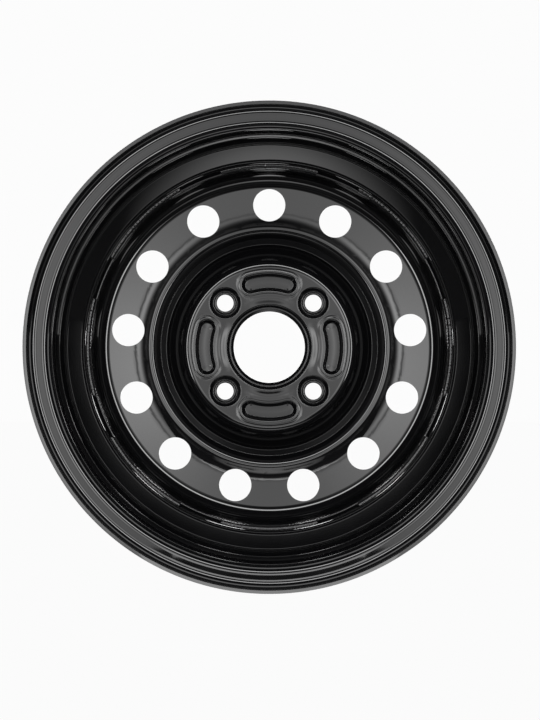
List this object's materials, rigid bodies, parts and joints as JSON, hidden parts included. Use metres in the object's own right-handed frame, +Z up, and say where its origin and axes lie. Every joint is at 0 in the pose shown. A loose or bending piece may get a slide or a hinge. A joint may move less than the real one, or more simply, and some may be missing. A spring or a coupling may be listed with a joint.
{
  "type": "pressed steel car wheel",
  "caption": "Pressed steel car wheel: a rolled drop-well rim welded to a pressed disc with round vents, a hub bore and ball bolt seats, in gloss black paint.",
  "frame": {"origin": "centre of the wheel, on its spin axis at the middle of the rim's width", "axes": "+Y along the spin axis towards the street side, +Z up, the inboard side faces -Y"},
  "size_m": [0.364, 0.1652, 0.364],
  "materials": {
    "black_paint": "gloss black dipped paint"
  },
  "bodies": {
    "root": {"rim": "black_paint", "disc": "black_paint", "weld_runs": "black_paint"}
  },
  "joints": []
}
